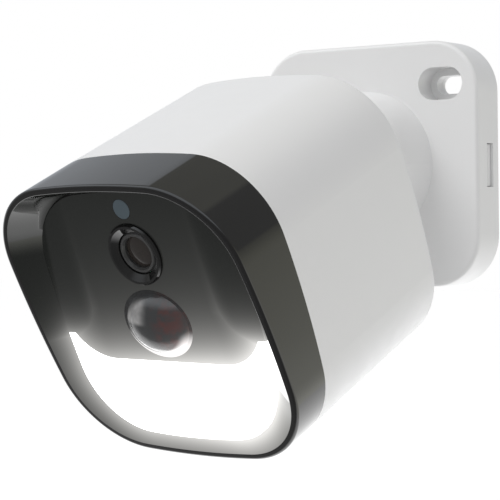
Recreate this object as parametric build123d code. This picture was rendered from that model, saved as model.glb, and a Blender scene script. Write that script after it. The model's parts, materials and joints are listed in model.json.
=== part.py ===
from build123d import *
import os
from math import acos, asin, cos, degrees, radians, sin, sqrt, tan

# Floodlight security camera on a ball-jointed wall mount, in millimetres.
#
# Row frame: the origin is the centre of the wall plate's back face, -Y points out of the
# wall, +Z is up. The mount is drawn lying on its back (its own +Z points out of the wall)
# and the camera unit is drawn with its own +Z pointing forwards, +Y up and z = 0 on its
# rear face. Both are stood up and placed at the end.

# ---------------------------------------------------------------- driving dimensions
# Aim of the camera at rest
ball_reach = 25.0          # wall to ball centre
rest_pan = -5.0            # degrees about the vertical
rest_tilt = 23.9           # degrees, nose down
stem_rise = 3.05           # stem axis above the middle of the camera unit
rear_gap = 23.4            # ball centre to the camera's rear face

# Wall plate
plate_width = 72.2
plate_height = 70.2
plate_depth = 12.6
plate_corner_r = 14.7
plate_edge_r = 1.2
mount_wall = 2.4
back_plate_t = 1.8
back_plate_gap = 0.15      # side play of the back plate inside the cover
slot_x = 24.3              # slot centre from the middle
slot_y = 22.8
slot_length = 10.0
slot_width = 5.3
recess_extra = 2.0         # screw-head recess beyond the slot, all round
recess_floor = 5.0         # height of the recess floor above the wall
lower_hole_y = -28.0
boss_wall = 1.6
window_y = -0.6            # snap windows in both sides of the cover
window_length = 12.4
window_low = 3.2
window_high = 7.0
rib_t = 1.6

# Neck and ball joint
neck_base_r = 21.5
neck_tip_r = 17.2
neck_wall = 2.2
shoulder_back = 0.6        # neck shoulder behind the ball centre
spigot_r = 13.9
spigot_length = 4.2        # ahead of the ball centre
ball_r = 10.5
ball_play = 0.1            # radial clearance of ball, pad and socket
pad_t = 1.6
pad_hole_deg = 12.0
pad_edge_deg = 45.0
mouth_deg = 61.5           # half angle of the ring's mouth, seen from the ball centre
mouth_flare = 2.3
ring_play = 0.15
ring_length = 8.0
ring_front_r = 16.0
ring_front_wall = 3.0
seat_start = 1.8           # seat collar begins this far ahead of the ball centre
grip_count = 18
grip_r = 1.6
ring_edge_r = 0.8

# Stem
stem_neck_r = 3.0
stem_foot_r = 4.6
flange_r = 8.0
flange_t = 3.0
washer_t = 1.2
washer_r = 7.6
thread_r = 3.175
thread_play = 0.075
thread_reach = 8.5         # thread length inside the camera

# Camera unit: bowed rounded-square outline
face_width = 80.0
face_height = 80.6
face_corner_r = 23.4
side_bulge = 0.55
top_bulge = 0.63
housing_length = 55.5
housing_draft = 0.5        # degrees, the shell narrows towards the rear
housing_wall = 2.4
rear_edge_r = 2.0
housing_post_r = 4.0
housing_post_top = 12.0
screw_r = 1.45
screw_play = 0.15
screw_head_r = 2.8
screw_head_t = 2.0
screw_sink = 0.8           # screw head below the rear face
screw_end = 48.0
insert_r = 4.2
insert_length = 9.0
insert_wall = 2.3
insert_play = 0.05

# Hood and front panel
hood_depth = 15.1          # housing joint to rim, on the axis
rim_rake = 6.45            # degrees, the top of the rim stands further forward
rim_wall = 1.8
rim_edge_r = 0.5
panel_depth = 4.6          # panel behind the rim, on the axis
panel_side_margin = 6.7    # from the body's side to the panel's edge
panel_top_margin = 5.7
panel_corner_r = 20.0
panel_bulge = 0.5
panel_t = 2.0
panel_play = 0.1
ledge_width = 1.5
ledge_t = 1.5
hood_wall = 3.2
spigot_depth = 5.0         # bezel spigot inside the housing
spigot_wall = 2.1
spigot_play = 0.15
gasket_width = 0.8
gasket_t = 1.2
bezel_post_r = 2.8

# Floodlight
light_drop = 10.8          # upper edge of the light below the motion sensor's centre
light_flat = 18.5          # half length of the straight upper edge
light_horn_r = 14.5
light_horn_deg = 59.3
light_gap = 0.1
board_inset = 4.8
led_size = 3.0
led_t = 0.9
led_pitch = 8.6
led_column_count = 5
led_row_count = 2
light_edge_gap = 1.0       # boards and tray below the light's upper edge
board_t = 1.6
reflector_wall = 1.0
sink_t = 2.0
fin_t = 1.2
fin_pitch = 4.4
fin_count = 11
fin_height = 5.0
fin_margin = 2.0

# Lens, motion sensor, light sensor
lens_drop = 12.2           # lens axis below the light sensor
lens_ring_r = 8.3
lens_ring_proud = 0.9
lens_throat_r = 5.75
barrel_r = 5.6
barrel_front_r = 4.3
lens_bulge = 0.7
pir_drop = 19.3            # motion sensor below the lens axis
pir_r = 9.1
pir_dome = 4.0
pir_wall = 0.9
pir_can_r = 4.6
pir_can_h = 4.2
eye_margin = 4.7           # light sensor below the panel's upper edge
eye_r = 2.6
eye_flange = 0.3
flange_extra = 0.8
hole_play = 0.1
carrier_t = 1.1            # flanges behind the panel

# Inner frame, battery and boards
cell_r = 9.2
cell_side_room = 7.5       # from the body's side to each cell's end
cell_y = 9.75
cell_z = 23.0
cradle_wall = 1.1
cradle_play = 0.15
chassis_z = 34.0           # frame's rear side, from the camera's rear face
chassis_t = 1.6
chassis_post_r = 3.6
front_post_r = 2.4
front_post_inset = 9.3     # posts behind the front boards, from the panel's side
standoff = 2.0
main_half_w = 20.0
main_margin = 3.1          # main board above the housing's bottom wall
main_edge = 1.3            # main board beyond the camera posts
usb_notch_w = 24.0         # notch in the frame above the socket
usb_notch_d = 3.0
board_screw_r = 1.1
board_screw_head_r = 2.1
board_screw_x = 16.0
board_screw_y = (4.0, -26.0)
chip_boxes = (             # x0, x1, y0, y1, height on the main board
    (-7.0, 7.0, -18.0, -4.0, 1.4), (9.5, 17.5, -15.0, -5.0, 1.0),
    (-17.0, -10.5, -16.0, -8.0, 0.9), (-16.0, -8.0, -30.0, -28.2, 1.2),
)
seat_gap = 0.05
camera_board_depth = 19.5  # camera board's back behind the panel's face
camera_board_size = 26.0
camera_board_t = 1.2
camera_post_r = 2.0
camera_post_out = 10.0
holder_size = 15.0
holder_collar = 3.0
sensor_width = 6.4
sensor_height = 4.4
sensor_hole_r = 4.0
front_board_depth = 10.6   # light and sensor boards' back behind the panel's face

# Port bay under the body, speaker, microphone
port_half_x = 12.0
port_half_z = 5.5
flap_t = 1.2
flap_play = 0.25
usb_width = 9.0
usb_height = 3.2
usb_length = 7.3
usb_hole_play = 0.7
button_x = 8.8
button_r = 1.1
button_travel = 0.4
speaker_r = 12.0
speaker_t = 6.0
speaker_z = 17.5
grille_hole_r = 0.9
grille_pitch = 3.4
mic_side = 25.0            # microphone in from the body's side
mic_r = 2.2
mic_t = 1.6
mic_gap = 0.8              # under the microphone, where the bottom wall bows up
antenna_width = 30.0
antenna_depth = 8.0
antenna_t = 0.8
antenna_z = 16.0


# ---------------------------------------------------------------- worked-out places
ball_z = ball_reach                                   # mount frame: height of the ball centre
seat_r = ball_r + ball_play                           # spherical seats on the ball
cup_r = seat_r + pad_t + ball_play                    # socket behind the pad
recess_length = slot_length + 2 * recess_extra
recess_width = slot_width + 2 * recess_extra
joint_z = housing_length
cell_length = face_width - 2 * cell_side_room
mic_x = mic_side - face_width / 2
rim_z = joint_z + hood_depth
panel_width = face_width - 2 * panel_side_margin
panel_height = face_height - 2 * panel_top_margin
post_reach = (panel_corner_r - ledge_width) * sin(radians(45))
post_x = panel_width / 2 - panel_corner_r + post_reach
post_y = panel_height / 2 - panel_corner_r + post_reach
eye_y = panel_height / 2 - eye_margin
lens_y = eye_y - lens_drop
pir_y = lens_y - pir_drop
light_top_y = pir_y - light_drop
light_low = board_inset - panel_height / 2            # lower edge of the boards behind the light
light_high = light_top_y - light_edge_gap
panel_front = rim_z - panel_depth
panel_back = panel_front - panel_t
front_board_z = panel_front - front_board_depth
front_board_top = front_board_z + board_t
camera_board_z = panel_front - camera_board_depth
camera_board_top = camera_board_z + camera_board_t
main_z = chassis_z + chassis_t + standoff
main_front = main_z + board_t
main_top = lens_y + camera_post_out + main_edge
main_bottom = housing_wall + main_margin - face_height / 2
port_z = main_front + usb_height / 2
front_post_x = panel_width / 2 - front_post_inset
front_post_y = (lens_y, (light_low + light_high) / 2)
board_screw_points = [(x, y) for y in board_screw_y for x in (board_screw_x, -board_screw_x)]
pin_hole = 0.1                                        # play of posts in board holes


def bowed_square(width, height, corner_r, bulge_x, bulge_y, inset=0.0):
    """Rounded square whose four sides bow outwards; inset moves the outline inwards."""
    core_x = width / 2 - corner_r - bulge_x
    core_y = height / 2 - corner_r - bulge_y
    sides = [
        ThreePointArc((core_x, -core_y), (core_x + bulge_x, 0), (core_x, core_y)),
        ThreePointArc((core_x, core_y), (0, core_y + bulge_y), (-core_x, core_y)),
        ThreePointArc((-core_x, core_y), (-core_x - bulge_x, 0), (-core_x, -core_y)),
        ThreePointArc((-core_x, -core_y), (0, -core_y - bulge_y), (core_x, -core_y)),
    ]
    return offset(make_face(sides), corner_r - inset)


def face_outline(inset=0.0):
    return bowed_square(face_width, face_height, face_corner_r, side_bulge, top_bulge, inset)


def panel_outline(inset=0.0):
    return bowed_square(panel_width, panel_height, panel_corner_r, panel_bulge, panel_bulge, inset)


def slab(sketch, low, high):
    """Extrude a sketch between two heights."""
    return extrude(Pos(0, 0, low) * sketch, amount=high - low)


def draft_inset(z):
    """How far the drafted housing wall has moved in at height z."""
    return (housing_length - z) * tan(radians(housing_draft))


def drafted(inset, low, high):
    """Prism that follows the drafted outside of the housing, moved in by inset."""
    sections = [Pos(0, 0, z) * face_outline(inset + draft_inset(z)) for z in (low, high)]
    return loft(sections, ruled=True)


def rod(radius, low, high, x=0.0, y=0.0):
    return Pos(x, y, (low + high) / 2) * Cylinder(radius, high - low)


def tube(outer_r, inner_r, low, high, x=0.0, y=0.0):
    return rod(outer_r, low, high, x, y) - rod(inner_r, low - 1, high + 1, x, y)


def block(x0, x1, y0, y1, z0, z1):
    middle = Pos((x0 + x1) / 2, (y0 + y1) / 2, (z0 + z1) / 2)
    return middle * Box(x1 - x0, y1 - y0, z1 - z0)


def corners(x, y):
    return ((x, y), (-x, y), (-x, -y), (x, -y))


def turned(points):
    """Solid of revolution about Z from (radius, z) points; a 3-tuple starts an arc via it."""
    lines = []
    for here, after in zip(points, points[1:] + points[:1]):
        start = (here[0], 0, here[1])
        end = (after[0], 0, after[1])
        if len(here) == 4:
            lines.append(ThreePointArc(start, (here[2], 0, here[3]), end))
        else:
            lines.append(Line(start, end))
    return revolve(make_face(lines), Axis.Z)


# ---------------------------------------------------------------- wall mount
def plate_outline(inset=0.0):
    return RectangleRounded(plate_width - 2 * inset, plate_height - 2 * inset, plate_corner_r - inset)


def screw_slot(low, high, extra=0.0):
    """Two upper slots, extra wider all round, between two heights."""
    sketch = SlotOverall(slot_length + 2 * extra, slot_width + 2 * extra)
    return [slab(Pos(x, slot_y) * sketch, low, high) for x in (slot_x, -slot_x)]


def lower_hole(low, high, extra=0.0):
    return rod(slot_width / 2 + extra, low, high, 0, lower_hole_y)


def neck_cone(inset, low, high):
    """Frustum parallel to the neck's outside."""
    height = ball_z - shoulder_back - plate_depth
    slope = (neck_base_r - neck_tip_r) / height
    bottom_r = neck_base_r - inset - slope * (low - plate_depth)
    top_r = neck_base_r - inset - slope * (high - plate_depth)
    return Pos(0, 0, (low + high) / 2) * Cone(bottom_r, top_r, high - low)


def make_mount_base():
    plate = slab(plate_outline(), 0, plate_depth)
    plate = fillet(plate.faces().sort_by(Axis.Z)[-1].edges(), plate_edge_r)
    plate -= slab(plate_outline(mount_wall), 0, plate_depth - mount_wall)
    shoulder = ball_z - shoulder_back
    spigot_end = ball_z + spigot_length
    neck = neck_cone(0, plate_depth, shoulder) + rod(spigot_r, shoulder, spigot_end)
    neck -= neck_cone(neck_wall, plate_depth, ball_z - cup_r / 2)
    cup = Pos(0, 0, ball_z) * Sphere(cup_r + neck_wall) & rod(spigot_r, ball_z - cup_r - neck_wall, ball_z)
    body = plate - neck_cone(neck_wall, plate_depth - mount_wall, plate_depth) + neck + cup
    # ribs from the cup to the side walls
    rib_reach_x = plate_width / 2 - mount_wall / 2
    rib_reach_y = plate_height / 2 - mount_wall / 2
    rib_low = window_high + rib_t
    rib_high = plate_depth - mount_wall / 2
    body += block(-rib_reach_x, rib_reach_x, -rib_t / 2, rib_t / 2, rib_low, rib_high)
    body += block(-rib_t / 2, rib_t / 2, lower_hole_y, rib_reach_y, rib_low, rib_high)
    # screw bosses with sunk slots, clear of the back plate
    boss_low = back_plate_t + back_plate_gap
    for boss in screw_slot(boss_low, plate_depth - mount_wall, recess_extra + boss_wall):
        body += boss
    body += lower_hole(boss_low, plate_depth - mount_wall, recess_extra + boss_wall)
    for cutter in screw_slot(recess_floor, plate_depth + 1, recess_extra) + screw_slot(0, recess_floor):
        body -= cutter
    body -= lower_hole(recess_floor, ball_z, recess_extra) + lower_hole(0, recess_floor)
    # ball socket, open to the front
    body -= Pos(0, 0, ball_z) * Sphere(cup_r) + rod(cup_r, ball_z, spigot_end + 1)
    # snap windows
    half = plate_width / 2
    window = (window_y - window_length / 2, window_y + window_length / 2, window_low, window_high)
    body -= block(half - 2 * mount_wall, half + 1, *window) + block(-half - 1, 2 * mount_wall - half, *window)
    return body


def make_back_plate():
    inset = mount_wall + back_plate_gap
    plate = slab(plate_outline(inset), 0, back_plate_t)
    play = 0.3
    inner = plate_width / 2 - inset
    for side in (1, -1):
        y0 = window_y - window_length / 2 + play
        y1 = window_y + window_length / 2 - play
        stalk = block(inner - boss_wall, inner, y0, y1, back_plate_t, window_high - play)
        low, high = window_low + play, window_high - play
        barb_tip = plate_width / 2 - boss_wall / 2
        wedge = make_face(Polyline((inner, 0, low), (barb_tip, 0, low), (barb_tip, 0, low + boss_wall),
                                   (inner, 0, high), close=True))
        barb = extrude(wedge, amount=(y1 - y0) / 2, both=True)
        tongue = stalk + Pos(0, (y0 + y1) / 2, 0) * barb
        plate += tongue if side == 1 else mirror(tongue, about=Plane.YZ)
    for cutter in screw_slot(-1, back_plate_t + 1):
        plate -= cutter
    return plate - lower_hole(-1, back_plate_t + 1)


def make_lock_ring():
    back = ball_z - shoulder_back + 0.2
    front = back + ring_length
    mouth_r = seat_r * sin(radians(mouth_deg))
    mouth_z = ball_z + seat_r * cos(radians(mouth_deg))
    seat_low = ball_z + seat_start
    seat_low_r = sqrt(seat_r ** 2 - seat_start ** 2)
    mid_deg = (mouth_deg + degrees(acos(seat_start / seat_r))) / 2
    mid = (seat_r * sin(radians(mid_deg)), ball_z + seat_r * cos(radians(mid_deg)))
    collar_r = cup_r - ring_play
    skirt_r = spigot_r + ring_play
    ceiling = front - ring_front_wall
    ring = turned([
        (neck_tip_r, back), (ring_front_r + 0.3, front - ring_edge_r),
        (ring_front_r + 0.3 - ring_edge_r, front), (mouth_r + mouth_flare, front),
        (mouth_r, mouth_z, *mid), (seat_low_r, seat_low), (collar_r, seat_low),
        (collar_r, ceiling), (skirt_r, ceiling), (skirt_r, back),
    ])
    for turn in range(grip_count):
        groove = rod(grip_r, back + 1.5, front + 1, neck_tip_r + grip_r / 2)
        ring -= Rot(0, 0, 360 * turn / grip_count) * groove
    return ring


def make_ball_pad():
    inner, outer = seat_r, seat_r + pad_t

    def at(radius, angle):
        return radius * sin(radians(angle)), ball_z - radius * cos(radians(angle))

    middle = (pad_hole_deg + pad_edge_deg) / 2
    return turned([
        (*at(inner, pad_hole_deg), *at(inner, middle)), at(inner, pad_edge_deg),
        (*at(outer, pad_edge_deg), *at(outer, middle)), at(outer, pad_hole_deg),
    ])


# ---------------------------------------------------------------- stem, drawn from the ball centre
def make_ball_stud():
    flange_front = rear_gap - washer_t - 2 * seat_gap
    flange_back = flange_front - flange_t
    neck = turned([
        (0, 0), (stem_neck_r, 0), (stem_neck_r, flange_back - 4), (stem_foot_r, flange_back),
        (flange_r - 0.5, flange_back), (flange_r, flange_back + 0.5), (flange_r, flange_front),
        (thread_r, flange_front), (thread_r, rear_gap + thread_reach - 0.7),
        (thread_r - 0.7, rear_gap + thread_reach), (0, rear_gap + thread_reach),
    ])
    flats = flange_r * 0.9
    stud = Sphere(ball_r) + neck
    for x0 in (flats, -flange_r):
        stud -= block(x0, x0 + flange_r - flats, -flange_r, flange_r, flange_back - 1, flange_front)
    return stud


def make_stud_washer():
    return tube(washer_r, thread_r + thread_play, rear_gap - washer_t - seat_gap, rear_gap - seat_gap)


# ---------------------------------------------------------------- camera unit: shell
def body_outer():
    shell = drafted(0, 0, housing_length)
    return fillet(shell.faces().sort_by(Axis.Z)[0].edges(), rear_edge_r)


def port_bay(play=0.0):
    """Shallow recess under the body for the rubber flap."""
    depth = face_height / 2 - draft_inset(port_z) - flap_t
    return block(play - port_half_x, port_half_x - play, -face_height, -depth - play * 0.2,
                 port_z - port_half_z + play, port_z + port_half_z - play)


def under_wall_y(z):
    """Inside face of the housing's bottom wall, on the centre line."""
    return -(face_height / 2 - draft_inset(z) - housing_wall)


def grille_points():
    rows = []
    for row in range(-2, 3):
        count = 5 - abs(row)
        for i in range(count):
            rows.append(((i - (count - 1) / 2) * grille_pitch, row * grille_pitch * sin(radians(60))))
    return rows


def make_housing():
    shell = body_outer() - drafted(housing_wall, housing_wall, housing_length)
    hole_r = screw_r + screw_play
    sink = screw_sink + screw_head_t
    for x, y in corners(post_x, post_y):
        shell += rod(housing_post_r, housing_wall, housing_post_top, x, y)
        shell -= rod(hole_r, -1, housing_post_top + 1, x, y)
        shell -= rod(screw_head_r + screw_play, -1, sink, x, y)
    shell += rod(insert_r + insert_wall, housing_wall, insert_length + housing_wall, 0, stem_rise)
    shell -= rod(insert_r + insert_play, -1, insert_length + 2 * insert_play, 0, stem_rise)
    # port bay with its two openings
    shell -= port_bay()
    bay_depth = (-face_height, 0)
    half_x = usb_width / 2 + usb_hole_play
    half_z = usb_height / 2 + usb_hole_play
    shell -= block(-half_x, half_x, *bay_depth, port_z - half_z, port_z + half_z) & reach_into_wall(port_z)
    shell -= upright(button_r + 0.15, -face_height, under_wall_y(port_z) + 1, button_x, port_z)
    shell -= upright(0.5, -face_height, under_wall_y(port_z) + 1, mic_x, port_z)
    # speaker seat and grille
    floor = under_wall_y(speaker_z)
    seat = upright(speaker_r + 1.4, floor - 0.5, floor + 3, 0, speaker_z)
    shell += seat - upright(speaker_r + 0.2, floor - 2, floor + 4, 0, speaker_z)
    for x, z in grille_points():
        shell -= upright(grille_hole_r, -face_height, floor + 1, x, speaker_z + z)
    return shell


def reach_into_wall(z):
    """Slab that takes in the bottom wall and nothing behind it."""
    return block(-face_width, face_width, -face_height, under_wall_y(z) + 1, 0, housing_length)


def upright(radius, low, high, x, z):
    """Cylinder along the camera's own Y axis."""
    return Pos(x, (low + high) / 2, z) * Rot(90, 0, 0) * Cylinder(radius, high - low)


def make_thread_insert():
    return tube(insert_r, thread_r + thread_play, insert_play, insert_length, 0, stem_rise)


def make_housing_screws():
    screws = []
    head_top = screw_sink + screw_head_t - seat_gap
    for x, y in corners(post_x, post_y):
        head = rod(screw_head_r, screw_sink, head_top, x, y)
        socket = Pos(x, y, screw_sink) * extrude(RegularPolygon(1.3, 6), amount=1.2)
        screws.append(head - socket + rod(screw_r, head_top, screw_end, x, y))
    return Compound(children=screws)


# ---------------------------------------------------------------- camera unit: front
def rim_plane():
    return Plane(origin=(0, 0, rim_z), x_dir=(1, 0, 0),
                 z_dir=(0, -sin(radians(rim_rake)), cos(radians(rim_rake))))


def make_front_bezel():
    stretch = 1 / cos(radians(rim_rake))
    # hood: straight outside, cut off by the raked rim
    hood = slab(face_outline(), joint_z, rim_z + hood_depth)
    rim = rim_plane()
    hood -= extrude(rim * Rectangle(3 * face_width, 3 * face_height), amount=3 * hood_depth)
    hood = fillet(hood.faces().sort_by(Axis.Z)[-1].edges(), rim_edge_r)
    # sloped inner wall between the rim and the panel
    throat = bowed_square(face_width, face_height * stretch, face_corner_r, side_bulge, top_bulge, rim_wall)
    hood -= loft([Pos(0, 0, panel_front) * panel_outline(-panel_play), rim * throat], ruled=True)
    hood -= extrude(rim * throat, amount=hood_depth)
    # seat for the panel, then the hollow behind it
    hood -= slab(panel_outline(-panel_play), panel_back, panel_front + 0.01)
    ledge_z = panel_back - ledge_t
    hood -= slab(panel_outline(ledge_width), joint_z, panel_back)
    hood -= slab(face_outline(hood_wall), joint_z, ledge_z)
    # spigot inside the housing, with the gasket groove
    outer, low = housing_wall + spigot_play, joint_z - spigot_depth
    spigot = drafted(outer, low, joint_z) - drafted(outer + spigot_wall, low, joint_z)
    flange = slab(face_outline(outer + draft_inset(joint_z)), joint_z, joint_z + 1)
    flange -= slab(face_outline(outer + spigot_wall), joint_z, joint_z + 1)
    groove = drafted(0, *gasket_span()) - drafted(outer + gasket_width + seat_gap, *gasket_span())
    bezel = hood + flange + spigot - groove
    post_low = chassis_z + chassis_t + seat_gap
    for x, y in corners(post_x, post_y):
        bezel += rod(bezel_post_r, post_low, ledge_z, x, y)
        bezel -= rod(screw_r + seat_gap, post_low - 1, screw_end + 1, x, y)
    return bezel


def gasket_span(play=0.0):
    middle = joint_z - spigot_depth / 2
    return middle - gasket_t / 2 + play, middle + gasket_t / 2 - play


def make_front_gasket():
    low, high = gasket_span(seat_gap)
    inner = housing_wall + spigot_play + gasket_width
    return drafted(housing_wall + seat_gap, low, high) - drafted(inner, low, high)


def light_zone():
    """Everything below the light's upper edge, which turns up into two horns."""
    horn = radians(light_horn_deg)
    tip_x = light_flat + light_horn_r * sin(horn)
    tip_y = light_top_y + light_horn_r * (1 - cos(horn))
    mid_x = light_flat + light_horn_r * sin(horn / 2)
    mid_y = light_top_y + light_horn_r * (1 - cos(horn / 2))
    far_x, far_y = face_width, -face_height
    edges = [
        Line((-light_flat, light_top_y), (light_flat, light_top_y)),
        ThreePointArc((light_flat, light_top_y), (mid_x, mid_y), (tip_x, tip_y)),
        Line((tip_x, tip_y), (far_x, tip_y)), Line((far_x, tip_y), (far_x, far_y)),
        Line((far_x, far_y), (-far_x, far_y)), Line((-far_x, far_y), (-far_x, tip_y)),
        Line((-far_x, tip_y), (-tip_x, tip_y)),
        ThreePointArc((-tip_x, tip_y), (-mid_x, mid_y), (-light_flat, light_top_y)),
    ]
    return make_face(edges)


def light_sketch(inset, drop):
    """Outline of the light, inset from the panel's edge and dropped from its upper edge."""
    return panel_outline(inset) & Pos(0, -drop) * light_zone()


def make_front_panel():
    panel = slab(panel_outline() - light_zone(), panel_back, panel_front)
    for y, radius in ((lens_y, lens_ring_r), (pir_y, pir_r), (eye_y, eye_r)):
        panel -= rod(radius + hole_play, panel_back - 1, panel_front + 1, 0, y)
    return panel


def make_light_diffuser():
    window = slab(light_sketch(0, light_gap), panel_back, panel_front)
    foot = slab(light_sketch(ledge_width + 0.3, 1.0), panel_back - ledge_t, panel_back)
    return window + foot - slab(light_sketch(ledge_width + 1.5, 2.2), panel_back - ledge_t, panel_back)


def led_points():
    row_pitch = (light_high - light_low) / led_row_count
    points = []
    for row in range(led_row_count):
        y = light_low + (row + 0.5) * row_pitch
        for column in range(led_column_count):
            points.append(((column - (led_column_count - 1) / 2) * led_pitch, y))
    return points


def make_led_board():
    return slab(light_sketch(board_inset, light_edge_gap), front_board_z, front_board_top)


def make_floodlight_leds():
    half = led_size / 2
    leds = [block(x - half, x + half, y - half, y + half, front_board_top, front_board_top + led_t)
            for x, y in led_points()]
    return Compound(children=leds)


def make_light_reflector():
    low = front_board_top + seat_gap
    high = panel_back - ledge_t - seat_gap
    tray = slab(light_sketch(board_inset, light_edge_gap), low, high)
    inside = light_sketch(board_inset + reflector_wall, light_edge_gap + reflector_wall)
    tray -= slab(inside, low + reflector_wall, high)
    half = led_size / 2 + 0.3
    for x, y in led_points():
        tray -= block(x - half, x + half, y - half, y + half, low - 1, low + reflector_wall + 1)
    return tray


def make_heat_sink():
    top = front_board_z - seat_gap
    base_low = top - sink_t
    sink = slab(light_sketch(board_inset + 0.5, 1.5), base_low, top)
    fin_span = (light_low + fin_margin, light_high - fin_margin)
    for i in range(fin_count):
        x = (i - (fin_count - 1) / 2) * fin_pitch
        if abs(abs(x) - front_post_x) > front_post_r + fin_t:
            sink += block(x - fin_t / 2, x + fin_t / 2, *fin_span, base_low - fin_height, base_low)
    return sink


def make_lens_ring():
    ledge = panel_back - seat_gap
    top = panel_front + lens_ring_proud
    ring = turned([
        (lens_ring_r + flange_extra, ledge - carrier_t), (lens_ring_r + flange_extra, ledge),
        (lens_ring_r, ledge), (lens_ring_r, top - 0.4), (lens_ring_r - 0.4, top), (lens_ring_r - 1.0, top),
        (lens_throat_r, panel_front - 0.4), (lens_throat_r, ledge - carrier_t),
    ])
    return Pos(0, lens_y, 0) * ring


def make_lens_barrel():
    front = panel_front - 0.5
    back = camera_board_top + holder_collar - 1
    barrel = turned([
        (0, back), (barrel_r, back), (barrel_r, front - 0.4), (barrel_r - 0.4, front),
        (barrel_front_r + 0.35, front), (barrel_front_r, front - 0.6), (barrel_front_r, front - 2.2),
        (0, front - 2.2),
    ])
    return Pos(0, lens_y, 0) * barrel


def make_lens_glass():
    rear = panel_front - 0.5 - 2.2 + seat_gap
    edge = rear + 0.9
    radius = barrel_front_r - seat_gap
    sphere_r = (radius ** 2 + lens_bulge ** 2) / (2 * lens_bulge)
    half = asin(radius / sphere_r) / 2
    middle = (sphere_r * sin(half), edge + lens_bulge - sphere_r + sphere_r * cos(half))
    glass = turned([(0, rear), (radius, rear), (radius, edge, *middle), (0, edge + lens_bulge)])
    return Pos(0, lens_y, 0) * glass


def make_lens_holder():
    low = camera_board_top + seat_gap
    high = front_board_z - 1.0
    half = holder_size / 2
    holder = block(-half, half, lens_y - half, lens_y + half, low, high - holder_collar)
    holder += rod(barrel_r + 1.3, high - holder_collar, high, 0, lens_y)
    holder -= rod(barrel_r + hole_play, low + 1.5, high + 1, 0, lens_y)
    return holder - rod(sensor_hole_r, low - 1, low + 2, 0, lens_y)


def make_image_sensor():
    half_w, half_h = sensor_width / 2, sensor_height / 2
    span = (lens_y - half_h, lens_y + half_h, camera_board_top, camera_board_top + 0.9)
    return block(-half_w, half_w, *span)


def make_camera_board():
    half = camera_board_size / 2
    board = block(-half, half, lens_y - half, lens_y + half, camera_board_z, camera_board_top)
    return fillet(board.edges().filter_by(Axis.Z), 2.0)


def make_sensor_board():
    outline = panel_outline(board_inset) - Pos(0, light_edge_gap) * light_zone()
    board = slab(outline, front_board_z, front_board_top)
    return board - rod(barrel_r + 1.8, front_board_z - 1, front_board_top + 1, 0, lens_y)


def make_pir_sensor():
    can = rod(pir_can_r, front_board_top, front_board_top + pir_can_h, 0, pir_y)
    can += rod(pir_can_r + 0.5, front_board_top, front_board_top + 0.5, 0, pir_y)
    top = front_board_top + pir_can_h
    return can - block(-2, 2, pir_y - 1.5, pir_y + 1.5, top - 0.3, top + 1)


def make_pir_lens():
    ledge = panel_back - seat_gap
    rim_r = pir_r - 0.5
    dome_r = (rim_r ** 2 + pir_dome ** 2) / (2 * pir_dome)
    centre = panel_front + 0.2 + pir_dome - dome_r
    inner_r = dome_r - pir_wall
    shoulder = panel_front + 0.2
    inner_rim = sqrt(inner_r ** 2 - (shoulder - centre) ** 2)
    half_out = asin(rim_r / dome_r) / 2
    half_in = asin(inner_rim / inner_r) / 2
    dome = turned([
        (0, centre + inner_r, inner_r * sin(half_in), centre + inner_r * cos(half_in)),
        (inner_rim, shoulder), (inner_rim, ledge - carrier_t), (pir_r + flange_extra, ledge - carrier_t),
        (pir_r + flange_extra, ledge), (pir_r, ledge), (pir_r, shoulder),
        (rim_r, shoulder, dome_r * sin(half_out), centre + dome_r * cos(half_out)), (0, centre + dome_r),
    ])
    return Pos(0, pir_y, 0) * dome


def make_sensor_window():
    ledge = panel_back - seat_gap
    window = rod(eye_r, front_board_top + 1.5, panel_front, 0, eye_y)
    return window + rod(eye_r + eye_flange, ledge - carrier_t, ledge, 0, eye_y)


def make_light_sensor():
    return block(-1, 1, eye_y - 1, eye_y + 1, front_board_top, front_board_top + 0.8)


# ---------------------------------------------------------------- camera unit: inside
def make_battery_cells():
    cells = []
    for y in (cell_y, -cell_y):
        cell = Pos(0, y, cell_z) * Rot(0, 90, 0) * (
            Cylinder(cell_r, cell_length) + Pos(0, 0, cell_length / 2) * Cylinder(3.0, 1.6))
        cells.append(cell)
    return Compound(children=cells)


def make_battery_tray():
    inner_r = cell_r + cradle_play
    outer_r = inner_r + cradle_wall
    half = cell_length / 2 + 1.0
    top = chassis_z - seat_gap
    end_t = 1.4
    tray = block(-half - end_t, half + end_t, -cell_y - outer_r, cell_y + outer_r, cell_z, top)
    for y in (cell_y, -cell_y):
        tray -= Pos(0, y, cell_z) * Rot(0, 90, 0) * Cylinder(inner_r, 2 * half)
    # lighten the three ridges between and beside the two cells
    for y in (cell_y + outer_r, 0, -cell_y - outer_r):
        width = 5.0 if y else 4.0
        tray -= block(-half + 2, half - 2, y - width / 2, y + width / 2, cell_z + 7.5, top + 1)
    return tray


def make_chassis():
    plate = slab(face_outline(hood_wall + draft_inset(chassis_z)), chassis_z, chassis_z + chassis_t)
    notch = block(-usb_notch_w / 2, usb_notch_w / 2, -face_height, main_bottom + usb_notch_d, 0, main_z)
    plate -= notch
    for x, y in corners(post_x, post_y):
        plate += rod(chassis_post_r, housing_post_top + seat_gap, chassis_z, x, y)
        plate -= rod(screw_r + screw_play, 0, chassis_z + chassis_t + 1, x, y)
    top = chassis_z + chassis_t
    stops = (front_board_z - seat_gap, front_board_z - sink_t - 2 * seat_gap)
    for y, stop in zip(front_post_y, stops):
        for x in (front_post_x, -front_post_x):
            plate += rod(front_post_r, top, stop, x, y)
    for x, y in board_screw_points:
        plate += rod(board_screw_r + 1.6, top, main_z - seat_gap, x, y)
        plate -= rod(board_screw_r + seat_gap, chassis_z - 1, main_z + 1, x, y)
    for x, y in corners(camera_post_out, camera_post_out):
        plate += rod(camera_post_r, top, camera_board_z - seat_gap, x, lens_y + y)
    return plate


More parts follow.
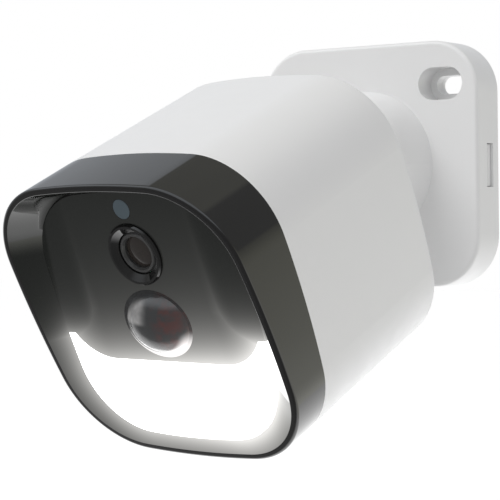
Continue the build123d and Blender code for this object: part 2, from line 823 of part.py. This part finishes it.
def make_main_board():
    board = block(-main_half_w, main_half_w, main_bottom, main_top, main_z, main_front)
    board = fillet(board.edges().filter_by(Axis.Z), 2.0)
    for x, y in board_screw_points:
        board -= rod(board_screw_r + 0.2, main_z - 1, main_front + 1, x, y)
    for x, y in corners(camera_post_out, camera_post_out):
        board -= rod(camera_post_r + pin_hole, main_z - 1, main_front + 1, x, lens_y + y)
    return board


def make_board_screws():
    screws = []
    for x, y in board_screw_points:
        head = rod(board_screw_head_r, main_front + seat_gap, main_front + 1.3, x, y)
        screws.append(head + rod(board_screw_r, chassis_z + 0.3, main_front + seat_gap, x, y))
    return Compound(children=screws)


def make_board_chips():
    chips = [block(*sides, main_front, main_front + height) for *sides, height in chip_boxes]
    return Compound(children=chips)


def make_usb_port():
    mouth = under_wall_y(port_z) + 0.3
    half = usb_width / 2
    body = block(-half, half, mouth, mouth + usb_length, main_front, main_front + usb_height)
    wall = 0.4
    depth = mouth + 5
    ceiling = main_front + usb_height - wall
    body -= block(wall - half, half - wall, mouth - 1, depth, main_front + wall, ceiling)
    return body + block(-3.3, 3.3, mouth + 0.6, depth, port_z - 0.35, port_z + 0.35)


def button_top():
    return under_wall_y(port_z) + 2.2


def make_reset_switch():
    low = button_top() + button_travel + seat_gap
    return block(button_x - 1.8, button_x + 1.8, low, low + 3.4, main_front, main_front + usb_height)


def make_reset_button():
    inside = under_wall_y(port_z)
    plunger = upright(button_r, inside - flap_t + 0.4, button_top(), button_x, port_z)
    return plunger + upright(button_r + 0.8, inside + 0.35, inside + 0.95, button_x, port_z)


def flap_hinge():
    """Centre of the flap's rolled edge: (y, z) in the camera's own frame."""
    outside = face_height / 2 - draft_inset(port_z)
    return -(outside - flap_t / 2), port_z - port_half_z + flap_play + flap_t / 2


def make_port_cover():
    hinge_y, hinge_z = flap_hinge()
    bead = Cylinder(flap_t / 2 - flap_play * 0.2, 2 * (port_half_x - flap_play))
    roll = Pos(0, hinge_y, hinge_z) * Rot(0, 90, 0) * bead
    leaf = port_bay(flap_play) & body_outer()
    leaf -= block(-face_width, face_width, -face_height, 0, 0, hinge_z)
    pad_half_x, pad_half_z = usb_width / 2, 1.7
    pad_low = -(face_height / 2 - draft_inset(port_z) - flap_t) - 0.3
    pad = block(-pad_half_x, pad_half_x, pad_low, pad_low + 1.2, port_z - pad_half_z, port_z + pad_half_z)
    return leaf + roll + pad


def make_speaker():
    floor = under_wall_y(speaker_z) + 0.4
    profile = [
        (0, 1.6, 4.5, 1.0), (8.5, 1.8), (9.6, 0.5), (10.4, 1.4), (10.6, 0), (speaker_r, 0), (speaker_r, 1.6),
        (8.0, 4.0), (7.0, 4.0), (7.0, speaker_t), (0, speaker_t),
    ]
    return Pos(0, floor, speaker_z) * Rot(-90, 0, 0) * turned(profile)


def make_microphone():
    floor = under_wall_y(port_z) + mic_gap
    return upright(mic_r, floor, floor + mic_t, mic_x, port_z)


def make_antenna():
    ceiling = face_height / 2 - draft_inset(0) - housing_wall - 0.6
    half_w, half_d = antenna_width / 2, antenna_depth / 2
    strip = block(-half_w, half_w, ceiling - antenna_t, ceiling, antenna_z - half_d, antenna_z + half_d)
    slot = block(3 - half_w, half_w - 3, ceiling - 2, ceiling + 1, antenna_z - 2, antenna_z - 0.8)
    return strip - slot


# ---------------------------------------------------------------- placing and writing
on_wall = Rot(90, 0, 0)
ball_frame = Pos(0, -ball_reach, 0) * Rot(0, 0, rest_pan)
stem_frame = ball_frame * Rot(rest_tilt, 0, 0) * Rot(90, 0, 0)
camera_frame = stem_frame * Pos(0, -stem_rise, rear_gap)
pad_frame = ball_frame * Pos(0, ball_reach, 0) * on_wall

groups = (
    (on_wall, (make_mount_base, make_back_plate, make_lock_ring)),
    (pad_frame, (make_ball_pad,)),
    (stem_frame, (make_ball_stud, make_stud_washer)),
    (camera_frame, (
        make_housing, make_thread_insert, make_housing_screws, make_front_bezel, make_front_gasket,
        make_front_panel, make_light_diffuser, make_light_reflector, make_led_board, make_floodlight_leds,
        make_heat_sink, make_lens_ring, make_lens_barrel, make_lens_glass, make_lens_holder,
        make_image_sensor, make_camera_board, make_sensor_board, make_pir_sensor, make_pir_lens,
        make_sensor_window, make_light_sensor, make_battery_cells, make_battery_tray, make_chassis,
        make_main_board, make_board_screws, make_board_chips, make_usb_port, make_reset_switch,
        make_reset_button, make_port_cover, make_speaker, make_microphone, make_antenna,
    )),
)

os.makedirs("parts", exist_ok=True)
for frame, makers in groups:
    for make in makers:
        node = make.__name__.removeprefix("make_")
        export_step(frame * make(), f"parts/{node}.step")
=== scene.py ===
"""Looks of the floodlight security camera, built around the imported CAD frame.

The camera unit has its own axes: x to its right, y up, z forwards, with z = 0 on its rear face.
`unit` turns a point given in millimetres on those axes into the row frame, in metres.
"""
import json
import math

import bmesh
import bpy
from mathutils import Matrix, Vector


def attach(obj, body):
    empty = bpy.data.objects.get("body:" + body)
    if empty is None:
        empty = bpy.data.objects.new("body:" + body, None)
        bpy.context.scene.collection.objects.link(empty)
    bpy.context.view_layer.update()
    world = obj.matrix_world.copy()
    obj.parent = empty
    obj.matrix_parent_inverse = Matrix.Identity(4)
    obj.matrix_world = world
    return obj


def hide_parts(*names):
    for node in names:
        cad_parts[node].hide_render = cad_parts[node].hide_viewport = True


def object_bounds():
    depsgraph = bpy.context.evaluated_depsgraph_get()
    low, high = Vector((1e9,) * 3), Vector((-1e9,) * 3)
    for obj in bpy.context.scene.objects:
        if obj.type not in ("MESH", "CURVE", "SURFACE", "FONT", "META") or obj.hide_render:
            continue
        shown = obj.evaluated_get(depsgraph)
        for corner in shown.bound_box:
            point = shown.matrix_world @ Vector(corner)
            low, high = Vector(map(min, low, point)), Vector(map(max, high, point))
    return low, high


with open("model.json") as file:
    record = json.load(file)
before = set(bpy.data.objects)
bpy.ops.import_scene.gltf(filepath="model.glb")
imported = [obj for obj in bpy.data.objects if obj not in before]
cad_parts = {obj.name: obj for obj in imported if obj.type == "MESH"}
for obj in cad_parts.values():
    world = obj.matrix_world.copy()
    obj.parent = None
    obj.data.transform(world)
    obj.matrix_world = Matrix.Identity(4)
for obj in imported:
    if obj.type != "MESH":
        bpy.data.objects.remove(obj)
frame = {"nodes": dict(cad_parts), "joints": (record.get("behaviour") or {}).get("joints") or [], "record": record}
nodes = frame["nodes"]
cad_box = [list(corner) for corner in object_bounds()]
MM = 0.001
world_light = 0.62         # even light on matt surfaces

# ---------------------------------------------------------------- the camera unit's own axes
joints = {joint["name"]: joint for joint in frame["joints"]}
forward = Vector(joints["ball_spin"]["axis"]).normalized()
sideways = Vector(joints["ball_tilt"]["axis"]).normalized()
upward = forward.cross(sideways)
ball_centre = Vector(joints["ball_pan"]["pos_m"])
stem_rise = 3.05           # stem axis above the middle of the unit
rear_gap = 23.4            # ball centre to the rear face
unit_origin = ball_centre + (forward * rear_gap - upward * stem_rise) * MM


def unit(x, y, z):
    return unit_origin + (sideways * x + upward * y + forward * z) * MM


# ---------------------------------------------------------------- sizes, in millimetres on the unit's axes
face_width = 80.0          # outside of the black hood
face_height = 80.6
face_corner_r = 23.4
side_bulge = 0.55
top_bulge = 0.63
joint_z = 55.5             # front edge of the white housing
hood_wall = 3.2
spigot_depth = 5.0         # the hood's spigot, which plugs into the housing
spigot_inset = 2.55
spigot_wall = 2.1

rim_z = 70.6               # rim on the unit's axis
rim_rake = math.radians(6.45)
rim_wall = 1.8
rim_edge_r = 0.9           # its outer edge
rim_lip_r = 0.35           # its inner edge

panel_width = 66.6
panel_height = 69.2
panel_corner_r = 20.0
panel_bulge = 0.5
panel_play = 0.1
panel_front = 66.0
panel_back = 64.0
ledge_width = 1.5          # ledge behind the panel
ledge_t = 1.5

light_top = -12.4          # upper edge of the floodlight window on the unit's y axis
light_flat = 18.5          # half of its straight stretch
horn_r = 14.5              # the window's ends curve up with this radius
horn_tip = -5.3            # and end at this height

dome_half_height = 8.5     # oval dome of the motion sensor
dome_widen = 1.176
dome_rise = 5.0
dome_y = -1.6
dome_foot = 66.05          # just clear of the panel's face
dome_edge = 1.0            # flat edge round the dome, which covers the panel's round hole


# ---------------------------------------------------------------- camera
view_azimuth = math.radians(34.494)
view_elevation = math.radians(1.427)
view_roll = math.radians(-0.825)
view_distance = 0.5120
view_right_shift = -0.0413      # the view's axis passes this far right of the origin
view_up_shift = -0.02494
view_lens = 123.65


def make_camera():
    level = math.cos(view_elevation)
    back = Vector((math.sin(view_azimuth) * level, -math.cos(view_azimuth) * level, math.sin(view_elevation)))
    flat_right = Vector((math.cos(view_azimuth), math.sin(view_azimuth), 0))
    flat_up = back.cross(flat_right)
    right = flat_right * math.cos(view_roll) + flat_up * math.sin(view_roll)
    up = back.cross(right)
    data = bpy.data.cameras.new("camera")
    data.lens = view_lens
    data.sensor_width = 36
    data.clip_start = 0.01
    data.clip_end = 100
    camera = bpy.data.objects.new("camera", data)
    bpy.context.scene.collection.objects.link(camera)
    place = right * view_right_shift + up * view_up_shift + back * view_distance
    turn = Matrix((right, up, back)).transposed()
    camera.matrix_world = Matrix.Translation(place) @ turn.to_4x4()
    bpy.context.scene.camera = camera


# ---------------------------------------------------------------- material graphs
class Graph:
    """A material and the few node patterns that the finishes below share."""

    def __init__(self, name, **settings):
        self.material = bpy.data.materials.new(name)
        self.material.use_nodes = True
        self.tree = self.material.node_tree
        self.shader = self.tree.nodes["Principled BSDF"]
        for key, value in settings.items():
            self.shader.inputs[key.replace("_", " ")].default_value = value

    def add(self, kind, **settings):
        node = self.tree.nodes.new(kind)
        for key, value in settings.items():
            setattr(node, key, value)
        return node

    def link(self, source, target):
        self.tree.links.new(source, target)

    def put(self, value, target):
        """A socket is linked, anything else is set."""
        if isinstance(value, bpy.types.NodeSocket):
            self.link(value, target)
        else:
            target.default_value = value

    def math(self, operation, a, b=0.0, clamp=False):
        node = self.add("ShaderNodeMath", operation=operation, use_clamp=clamp)
        self.put(a, node.inputs[0])
        self.put(b, node.inputs[1])
        return node.outputs[0]

    def beyond(self, value, edge):
        """How far a value is past an edge, or 0."""
        return self.math("MAXIMUM", self.math("SUBTRACT", value, edge), 0.0)

    def length(self, a, b):
        return self.math("SQRT", self.math("ADD", self.math("POWER", a, 2.0), self.math("POWER", b, 2.0)))

    def fade(self, distance, strength, reach_mm):
        """Painted light that falls off with distance, as an emission strength."""
        falloff = self.math("EXPONENT", self.math("DIVIDE", distance, -reach_mm))
        return self.math("MULTIPLY", falloff, strength)

    def remap(self, value, low, high, to_low=0.0, to_high=1.0, smooth=True):
        node = self.add("ShaderNodeMapRange", interpolation_type="SMOOTHSTEP" if smooth else "LINEAR")
        for index, item in enumerate((value, low, high, to_low, to_high)):
            self.put(item, node.inputs[index])
        return node.outputs[0]

    def mix(self, share, a, b):
        node = self.add("ShaderNodeMix", data_type="RGBA")
        self.put(share, node.inputs[0])
        self.put(a, node.inputs[6])
        self.put(b, node.inputs[7])
        return node.outputs[2]

    def place(self):
        """The point itself, in metres in the row frame at rest."""
        return self.add("ShaderNodeTexCoord").outputs["Object"]

    def unit_axis(self, axis):
        """Distance in millimetres along one of the camera unit's own axes."""
        offset = self.add("ShaderNodeVectorMath", operation="SUBTRACT")
        self.link(self.place(), offset.inputs[0])
        offset.inputs[1].default_value = unit_origin
        dot = self.add("ShaderNodeVectorMath", operation="DOT_PRODUCT")
        self.link(offset.outputs[0], dot.inputs[0])
        dot.inputs[1].default_value = axis / MM
        return dot.outputs["Value"]

    def noise(self, size_mm, detail=2.0, roughness=0.5, stretch=None):
        """Noise between 0 and 1 whose features are about size_mm across."""
        node = self.add("ShaderNodeTexNoise")
        node.inputs["Scale"].default_value = 1 / (size_mm * MM)
        node.inputs["Detail"].default_value = detail
        node.inputs["Roughness"].default_value = roughness
        if stretch:
            mapping = self.add("ShaderNodeMapping")
            mapping.inputs["Scale"].default_value = stretch
            self.link(self.place(), mapping.inputs["Vector"])
            self.link(mapping.outputs[0], node.inputs["Vector"])
        else:
            self.link(self.place(), node.inputs["Vector"])
        return node.outputs["Fac"]

    def bump(self, height, depth_mm, strength=1.0):
        node = self.add("ShaderNodeBump")
        node.inputs["Strength"].default_value = strength
        node.inputs["Distance"].default_value = depth_mm * MM
        self.link(height, node.inputs["Height"])
        self.link(node.outputs[0], self.shader.inputs["Normal"])

    def vary(self, name, value, spread, size_mm):
        """A shader input that drifts around its value."""
        drift = self.remap(self.noise(size_mm), 0.3, 0.7, value - spread, value + spread)
        self.link(drift, self.shader.inputs[name])


def grey(value):
    return (value, value, value, 1.0)


def darker(colour, share):
    return tuple(channel * share for channel in colour[:3]) + (1.0,)


def moulded(name, colour, roughness, grain_mm=0.35, grain_depth=0.004, drift=0.03, **settings):
    """Moulded plastic: even colour with a faint drift, and a fine spark-eroded grain."""
    g = Graph(name, **settings)
    g.link(g.mix(g.noise(9.0), darker(colour, 1 - drift), colour), g.shader.inputs["Base Color"])
    g.vary("Roughness", roughness, roughness * 0.12, 4.0)
    g.bump(g.noise(grain_mm, detail=3.0), grain_depth)
    return g.material


def machined(name, colour, roughness, scratch_mm=0.25):
    """Turned or rolled metal with fine drawn scratches."""
    g = Graph(name, Metallic=1.0)
    streaks = g.noise(scratch_mm, detail=4.0, stretch=(1.0, 0.12, 1.0))
    g.link(g.mix(streaks, darker(colour, 0.88), colour), g.shader.inputs["Base Color"])
    g.link(g.remap(streaks, 0.2, 0.8, roughness * 0.8, roughness * 1.25), g.shader.inputs["Roughness"])
    g.bump(streaks, 0.004, 0.5)
    return g.material


def painted_light_spill(g):
    """Painted light: emission that stands in for the light the window spreads over the parts around it, by
    distance from its upper edge.
    """
    x, y, z = (g.unit_axis(axis) for axis in (sideways, upward, forward))
    side = g.math("ABSOLUTE", x)
    horn_centre = light_top + horn_r
    below = g.math("MAXIMUM", g.math("SUBTRACT", horn_centre, y), 0.0)
    from_horn = g.length(g.beyond(side, light_flat), below)
    distance = g.math("ADD", g.math("SUBTRACT", horn_r, from_horn), g.beyond(y, horn_centre))
    past_tip = g.math("MULTIPLY", g.remap(side, 14.0, 26.0), g.math("SUBTRACT", y, horn_tip - 1.0))
    distance = g.math("MAXIMUM", distance, g.math("MULTIPLY", past_tip, 2.0))
    corner_x = g.beyond(side, panel_width / 2 - panel_corner_r)
    corner_y = g.beyond(g.math("ABSOLUTE", y), panel_height / 2 - panel_corner_r)
    off_panel = g.beyond(g.length(corner_x, corner_y), panel_corner_r)
    aside = g.math("ADD", g.beyond(z, panel_front), g.math("MULTIPLY", off_panel, 1.15))
    distance = g.math("ADD", g.math("MAXIMUM", distance, 0.0), aside)
    # painted light, with a near and a wide falloff
    level = g.math("ADD", g.fade(distance, 0.70, 4.6), g.fade(distance, 0.15, 13.0))
    # painted light made weaker towards the unit's left
    return g.math("MULTIPLY", level, g.remap(x, -30.0, 18.0, 0.50, 1.0, smooth=False))


def gloss_with_painted_glow(name, roughness, colour=(0.012, 0.014, 0.012, 1)):
    """Polished black plastic with painted light: emission that stands in for the light it catches from the window.
    """
    g = Graph(name)
    g.link(g.mix(g.noise(9.0), darker(colour, 0.9), colour), g.shader.inputs["Base Color"])
    g.vary("Roughness", roughness, roughness * 0.12, 4.0)
    g.bump(g.noise(6.0), 0.003)
    # painted light from the window, as emission
    g.shader.inputs["Emission Color"].default_value = (1.0, 0.985, 0.955, 1)
    g.link(painted_light_spill(g), g.shader.inputs["Emission Strength"])
    return g.material


def motion_lens_with_painted_light():
    """Dark translucent dome: fine facets, a warm mottle on its right, a painted reflection of a pale pane on its
    upper left, painted light along its lower edge and painted spill from the window."""
    g = Graph("motion_lens", Roughness=0.16)
    across = g.math("DIVIDE", g.unit_axis(sideways), dome_half_height * dome_widen)
    up = g.math("DIVIDE", g.math("SUBTRACT", g.unit_axis(upward), dome_y), dome_half_height)
    radius = g.length(across, up)
    warm = g.math("MULTIPLY", g.remap(across, 0.1, 0.5), g.remap(g.noise(2.6, detail=5.0), 0.35, 0.7))
    g.link(g.mix(warm, (0.030, 0.032, 0.034, 1), (0.075, 0.022, 0.020, 1)), g.shader.inputs["Base Color"])
    facets = g.add("ShaderNodeTexVoronoi")
    facets.inputs["Scale"].default_value = 1 / (1.8 * MM)
    g.link(g.place(), facets.inputs["Vector"])
    g.bump(facets.outputs["Distance"], 0.05, 0.5)
    # painted light: a bright crescent along the dome's lower edge
    edge = g.math("MULTIPLY", g.remap(radius, 0.78, 0.95), g.remap(up, -0.15, -0.75))
    # painted reflection of a pale pane on the dome's upper left
    painted_pane_reflection = g.math("MULTIPLY", g.remap(across, 0.12, -0.25), g.remap(up, 0.16, 0.32))
    painted_pane_reflection = g.math("MULTIPLY", painted_pane_reflection, g.remap(radius, 0.97, 0.75))
    painted_pane_reflection = g.math("MULTIPLY", painted_pane_reflection, g.remap(g.noise(3.0), 0.2, 0.8, 0.5, 1.0))
    # painted light and painted reflection, given as emission
    painted_shine = g.math("ADD", g.math("MULTIPLY", edge, 0.9), g.math("MULTIPLY", painted_pane_reflection, 0.24))
    painted_shine = g.math("ADD", painted_shine, g.math("MULTIPLY", painted_light_spill(g), 0.30))
    g.shader.inputs["Emission Color"].default_value = (1.0, 0.98, 0.97, 1)
    g.link(painted_shine, g.shader.inputs["Emission Strength"])
    return g.material


finishes = {
    "white_plastic": moulded("white_plastic", grey(0.86), 0.34, grain_depth=0.002, drift=0.01),
    "black_gloss": moulded("black_gloss", grey(0.010), 0.045, grain_mm=6.0, grain_depth=0.004),
    # the dark panel gets painted light from the window as emission
    "dark_panel": gloss_with_painted_glow("dark_panel", 0.10),
    "lens_black": moulded("lens_black", grey(0.055), 0.32, grain_mm=0.8),
    "lens_glass": moulded("lens_glass", (0.03, 0.025, 0.022, 1), 0.03),
    "diffuser": moulded("diffuser", grey(0.9), 0.3, Emission_Color=grey(1.0), Emission_Strength=3.0),
    # the motion dome has a painted crescent, a painted pane reflection and painted spill as emission
    "motion_lens": motion_lens_with_painted_light(),
    "sensor_window": moulded("sensor_window", (0.09, 0.12, 0.14, 1), 0.1),
    "rubber": moulded("rubber", grey(0.80), 0.6),
    "black_rubber": moulded("black_rubber", grey(0.03), 0.6),
    "steel": machined("steel", grey(0.70), 0.28),
    "brass": machined("brass", (0.78, 0.58, 0.26, 1), 0.3),
    "board": moulded("board", (0.02, 0.13, 0.06, 1), 0.35),
    "chip": moulded("chip", grey(0.03), 0.5),
    "metal_can": machined("metal_can", grey(0.65), 0.35),
    "led": moulded("led", (0.9, 0.85, 0.5, 1), 0.3),
    "reflector": moulded("reflector", grey(0.9), 0.25),
    "heat_sink": machined("heat_sink", (0.75, 0.76, 0.77, 1), 0.35),
    "cell": moulded("cell", (0.12, 0.30, 0.5, 1), 0.35),
    "frame_plastic": moulded("frame_plastic", grey(0.09), 0.5),
    "speaker": moulded("speaker", grey(0.04), 0.55),
}
for part in frame["record"]["subparts"]:
    mesh = nodes[part["node"]].data
    mesh.materials.clear()
    mesh.materials.append(finishes[part["material_slot"]])


# ---------------------------------------------------------------- refined shells
def bowed_square(width, height, corner_r, bulge_x, bulge_y, side_steps=40, corner_steps=26):
    """Outline of a rounded square with bowed sides, as (core point, normal) pairs: a point lies
    corner_r outwards from its core, and less where the outline is inset."""
    half = (width / 2 - corner_r - bulge_x, height / 2 - corner_r - bulge_y)
    bulges = (bulge_x, bulge_y)
    bend = [(half[1 - k] ** 2 + bulges[k] ** 2) / (2 * bulges[k]) for k in (0, 1)]
    lean = [math.asin(half[1 - k] / bend[k]) for k in (0, 1)]
    pairs = []
    for quarter in range(4):
        k = quarter % 2
        middle = quarter * math.pi / 2
        across = Vector((math.cos(middle), math.sin(middle)))
        centre = across * (half[k] + bulges[k] - bend[k])
        for i in range(side_steps):
            angle = middle + lean[k] * (2 * i / side_steps - 1)
            normal = Vector((math.cos(angle), math.sin(angle)))
            pairs.append((centre + normal * bend[k], normal))
        start, end = middle + lean[k], middle + math.pi / 2 - lean[1 - k]
        core = centre + Vector((math.cos(start), math.sin(start))) * bend[k]
        for i in range(corner_steps):
            angle = start + (end - start) * i / corner_steps
            pairs.append((core.copy(), Vector((math.cos(angle), math.sin(angle)))))
    return pairs


def shell_object(name, points, faces, materials, sharp_degrees=35):
    """Mesh object from points on the unit's axes, smooth but for its sharp edges."""
    mesh = bpy.data.meshes.new(name)
    mesh.from_pydata([unit(*p) for p in points], [], faces)
    mesh.validate()
    work = bmesh.new()
    work.from_mesh(mesh)
    bmesh.ops.recalc_face_normals(work, faces=work.faces)
    for face in work.faces:
        face.smooth = True
    for edge in work.edges:
        edge.smooth = len(edge.link_faces) == 2 and edge.calc_face_angle() < math.radians(sharp_degrees)
    work.to_mesh(mesh)
    work.free()
    for material in materials:
        mesh.materials.append(material)
    piece = bpy.data.objects.new(name, mesh)
    bpy.context.scene.collection.objects.link(piece)
    weighted = piece.modifiers.new("weighted", "WEIGHTED_NORMAL")
    weighted.keep_sharp = True
    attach(piece, "camera")
    return piece


def ring_faces(loops, count, closed=True):
    """Quads between neighbouring loops of count points each."""
    faces = []
    for k in range(loops if closed else loops - 1):
        here, after = k * count, (k + 1) % loops * count
        for i in range(count):
            j = (i + 1) % count
            faces.append((here + i, here + j, after + j, after + i))
    return faces


def rounded(corner, first, second, radius, steps):
    """Points of the arc that rounds a corner between faces with these two normals."""
    centre = corner - (first + second) * (radius / (1 + first.dot(second)))
    angle = first.angle(second)
    points = []
    for i in range(steps + 1):
        share = i / steps
        mixed = first * math.sin((1 - share) * angle) + second * math.sin(share * angle)
        points.append(centre + mixed * (radius / math.sin(angle)))
    return points


def make_bezel_shell(edge_steps=10, lip_steps=6):
    """Black hood: joint face, outside, rounded rim, sloped throat, the panel's seat, ledge and spigot."""
    stretch = 1 / math.cos(rim_rake)
    outer = bowed_square(face_width, face_height, face_corner_r, side_bulge, top_bulge)
    throat = bowed_square(face_width, face_height * stretch, face_corner_r, side_bulge, top_bulge)
    panel = bowed_square(panel_width, panel_height, panel_corner_r, panel_bulge, panel_bulge)
    rim_normal = Vector((0, -math.sin(rim_rake), math.cos(rim_rake)))
    count = len(outer)
    lips = []
    for core, normal in throat:
        flat = core + normal * (face_corner_r - rim_wall)
        lips.append(Vector((flat.x, flat.y * math.cos(rim_rake), rim_z + flat.y * math.sin(rim_rake))))
    seats = [(core + normal * (panel_corner_r + panel_play)).to_3d() for core, normal in panel]
    for seat in seats:
        seat.z = panel_front
    columns = []
    for i, (core, normal) in enumerate(outer):
        outwards = normal.to_3d()
        edge = (core + normal * face_corner_r).to_3d()
        edge.z = rim_z + math.tan(rim_rake) * edge.y
        lip, seat = lips[i], seats[i]
        after = (i + 1) % count
        along = lips[after] - lips[i - 1] + seats[after] - seats[i - 1]
        inwards = (lip - seat).cross(along).normalized()
        if inwards.dot(outwards) > 0:
            inwards.negate()
        wall, inner, spigot = [core + normal * (face_corner_r - d)
                               for d in (hood_wall, spigot_inset + spigot_wall, spigot_inset)]
        socket, ledge = [panel[i][0] + panel[i][1] * (panel_corner_r + d) for d in (panel_play, -ledge_width)]
        foot = joint_z - spigot_depth
        column = [Vector((edge.x, edge.y, joint_z))]
        column += rounded(edge, outwards, rim_normal, rim_edge_r, edge_steps)
        column += rounded(lip, rim_normal, inwards, rim_lip_r, lip_steps)
        column += [lip.lerp(seat, share) for share in (0.25, 0.5, 0.75)] + [seat]
        for flat, height in ((socket, panel_back), (ledge, panel_back), (ledge, panel_back - ledge_t),
                             (wall, panel_back - ledge_t), (wall, joint_z + 1), (inner, joint_z + 1),
                             (inner, foot), (spigot, foot), (spigot, joint_z)):
            column.append(Vector((flat.x, flat.y, height)))
        columns.append(column)
    loops = len(columns[0])
    points = [columns[i][k] for k in range(loops) for i in range(count)]
    shell = shell_object("bezel_shell", points, ring_faces(loops, count),
                         [finishes["black_gloss"], gloss_with_painted_glow("hood_inside_painted_glow", 0.05)])
    # the throat faces take the gloss with painted light from the window
    throat_start = edge_steps + lip_steps + 1
    throat_loops = 6
    for face in shell.data.polygons[throat_start * count:(throat_start + throat_loops) * count]:
        face.material_index = 1
    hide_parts("front_bezel")


def make_motion_dome(rings=18, spokes=96):
    """Oval dome of the motion sensor with a flat edge, closed at its foot."""
    bend = (dome_half_height ** 2 + dome_rise ** 2) / (2 * dome_rise)
    lean = math.asin(dome_half_height / bend)
    turns = [2 * math.pi * i / spokes for i in range(spokes)]
    half_width = dome_half_height * dome_widen
    points = [((half_width + dome_edge) * math.cos(turn),
               dome_y + (dome_half_height + dome_edge) * math.sin(turn), dome_foot) for turn in turns]
    for k in range(rings):
        tilt = lean * (1 - k / rings)
        radius, height = bend * math.sin(tilt), bend * (math.cos(tilt) - math.cos(lean))
        points += [(radius * dome_widen * math.cos(turn), dome_y + radius * math.sin(turn),
                    dome_foot + height) for turn in turns]
    top = len(points)
    points.append((0, dome_y, dome_foot + dome_rise))
    last = rings * spokes
    faces = ring_faces(rings + 1, spokes, closed=False)
    faces += [(last + i, last + (i + 1) % spokes, top) for i in range(spokes)]
    faces.append(tuple(reversed(range(spokes))))
    dome = shell_object("motion_dome", points, faces, [finishes["motion_lens"]])
    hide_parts("pir_lens")


# ---------------------------------------------------------------- studio
def ramp(tree, value, stops):
    """Colour by value, from (value, colour) stops between -1 and 1."""
    half = tree.nodes.new("ShaderNodeMapRange")
    half.inputs["From Min"].default_value = -1.0
    tree.links.new(value, half.inputs["Value"])
    node = tree.nodes.new("ShaderNodeValToRGB")
    elements = node.color_ramp.elements
    while len(elements) < len(stops):
        elements.new(0.5)
    for element, (place, colour) in zip(elements, stops):
        element.position = (place + 1) / 2
        element.color = colour
    tree.links.new(half.outputs[0], node.inputs["Fac"])
    return node.outputs["Color"]


def tint(value, red=1.0, green=1.0, blue=1.0):
    return (value * red, value * green, value * blue, 1.0)


def step(tree, value, low, high):
    """0 below low and 1 above high."""
    node = tree.nodes.new("ShaderNodeMapRange")
    node.interpolation_type = "SMOOTHSTEP"
    node.inputs["From Min"].default_value = low
    node.inputs["From Max"].default_value = high
    tree.links.new(value, node.inputs["Value"])
    return node.outputs[0]


def blended(tree, share, a, b):
    node = tree.nodes.new("ShaderNodeMix")
    node.data_type = "RGBA"
    for value, socket in ((share, node.inputs[0]), (a, node.inputs[6]), (b, node.inputs[7])):
        if isinstance(value, bpy.types.NodeSocket):
            tree.links.new(value, socket)
        else:
            socket.default_value = value
    return node.outputs[2]


def room(tree):
    """What polished surfaces reflect, by direction: a pale sky on the left, a dim ceiling with a brighter
    bay, a dim wall over a white sweep on the right, and a dark room in front."""
    direction = tree.nodes.new("ShaderNodeTexCoord").outputs["Generated"]
    parts = tree.nodes.new("ShaderNodeSeparateXYZ")
    tree.links.new(direction, parts.inputs[0])
    across, depth, height = parts.outputs
    sky = ramp(tree, height, [(-0.45, tint(2.2)), (-0.2, tint(1.5)), (0.05, tint(0.55, 0.95, 1.0, 1.08)),
                              (0.7, tint(0.68, 0.96, 1.0, 1.05))])
    ceiling = ramp(tree, across, [(-0.55, tint(0.27, 1, 1, 0.92)), (-0.1, tint(0.55, 1, 1, 0.9)),
                                  (0.36, tint(0.72, 1, 1, 0.9)), (0.43, tint(0.46, 1, 1, 0.97))])
    right = ramp(tree, height, [(-0.3, tint(1.9, 1, 1, 0.92)), (-0.1, tint(1.25, 1, 1, 0.88)),
                                (0.1, tint(0.95, 1, 1, 0.85)), (0.24, tint(0.62, 1, 1, 0.88)),
                                (0.28, tint(0.42, 1, 1, 0.98))])
    rightwards = step(tree, across, 0.40, 0.44)
    sides = blended(tree, rightwards, sky, right)
    high = blended(tree, rightwards, ceiling, right)
    behind = blended(tree, step(tree, height, 0.705, 0.73), sides, high)
    front = ramp(tree, height, [(-0.2, tint(0.27)), (0.3, tint(0.35)), (0.55, tint(1.8, 0.95, 1.0, 1.05))])
    return blended(tree, step(tree, depth, -0.25, 0.15), front, behind)


def make_world():
    world = bpy.data.worlds.new("studio")
    bpy.context.scene.world = world
    world.use_nodes = True
    tree = world.node_tree
    path = tree.nodes.new("ShaderNodeLightPath").outputs
    mirrored = tree.nodes.new("ShaderNodeMath")
    mirrored.operation = "MAXIMUM"
    tree.links.new(path["Is Glossy Ray"], mirrored.inputs[0])
    tree.links.new(path["Is Transmission Ray"], mirrored.inputs[1])
    lit = blended(tree, path["Is Camera Ray"], grey(world_light), grey(1.0))       # white background
    colour = blended(tree, mirrored.outputs[0], lit, room(tree))
    tree.links.new(colour, tree.nodes["Background"].inputs["Color"])


def make_floor():
    size = 6.0
    drop = 0.30
    low = cad_box[0][2] - drop
    mesh = bpy.data.meshes.new("floor")
    mesh.from_pydata([(-size, -size, low), (size, -size, low), (size, size, low), (-size, size, low)],
                     [], [(0, 1, 2, 3)])
    floor = bpy.data.objects.new("floor", mesh)
    bpy.context.scene.collection.objects.link(floor)
    floor.visible_glossy = False
    g = Graph("floor", Base_Color=grey(0.85), Roughness=0.9)
    seen = g.add("ShaderNodeLightPath").outputs["Is Camera Ray"]
    g.shader.inputs["Emission Color"].default_value = grey(1.0)
    g.link(g.math("MULTIPLY", seen, 0.45), g.shader.inputs["Emission Strength"])
    mesh.materials.append(g.material)


def make_lamp(name, place, aim, size, power):
    data = bpy.data.lights.new(name, "AREA")
    data.shape = "DISK"
    data.size = size
    data.energy = power
    lamp = bpy.data.objects.new(name, data)
    bpy.context.scene.collection.objects.link(lamp)
    lamp.location = place
    lamp.rotation_euler = (Vector(aim) - Vector(place)).to_track_quat("-Z", "Y").to_euler()
    lamp.visible_glossy = False


make_camera()
make_bezel_shell()
make_motion_dome()
make_world()
make_floor()
make_lamp("key", (-0.9, -1.0, 1.3), (0, -0.05, 0), 1.2, 14.0)
bpy.context.scene.view_settings.view_transform = "Standard"
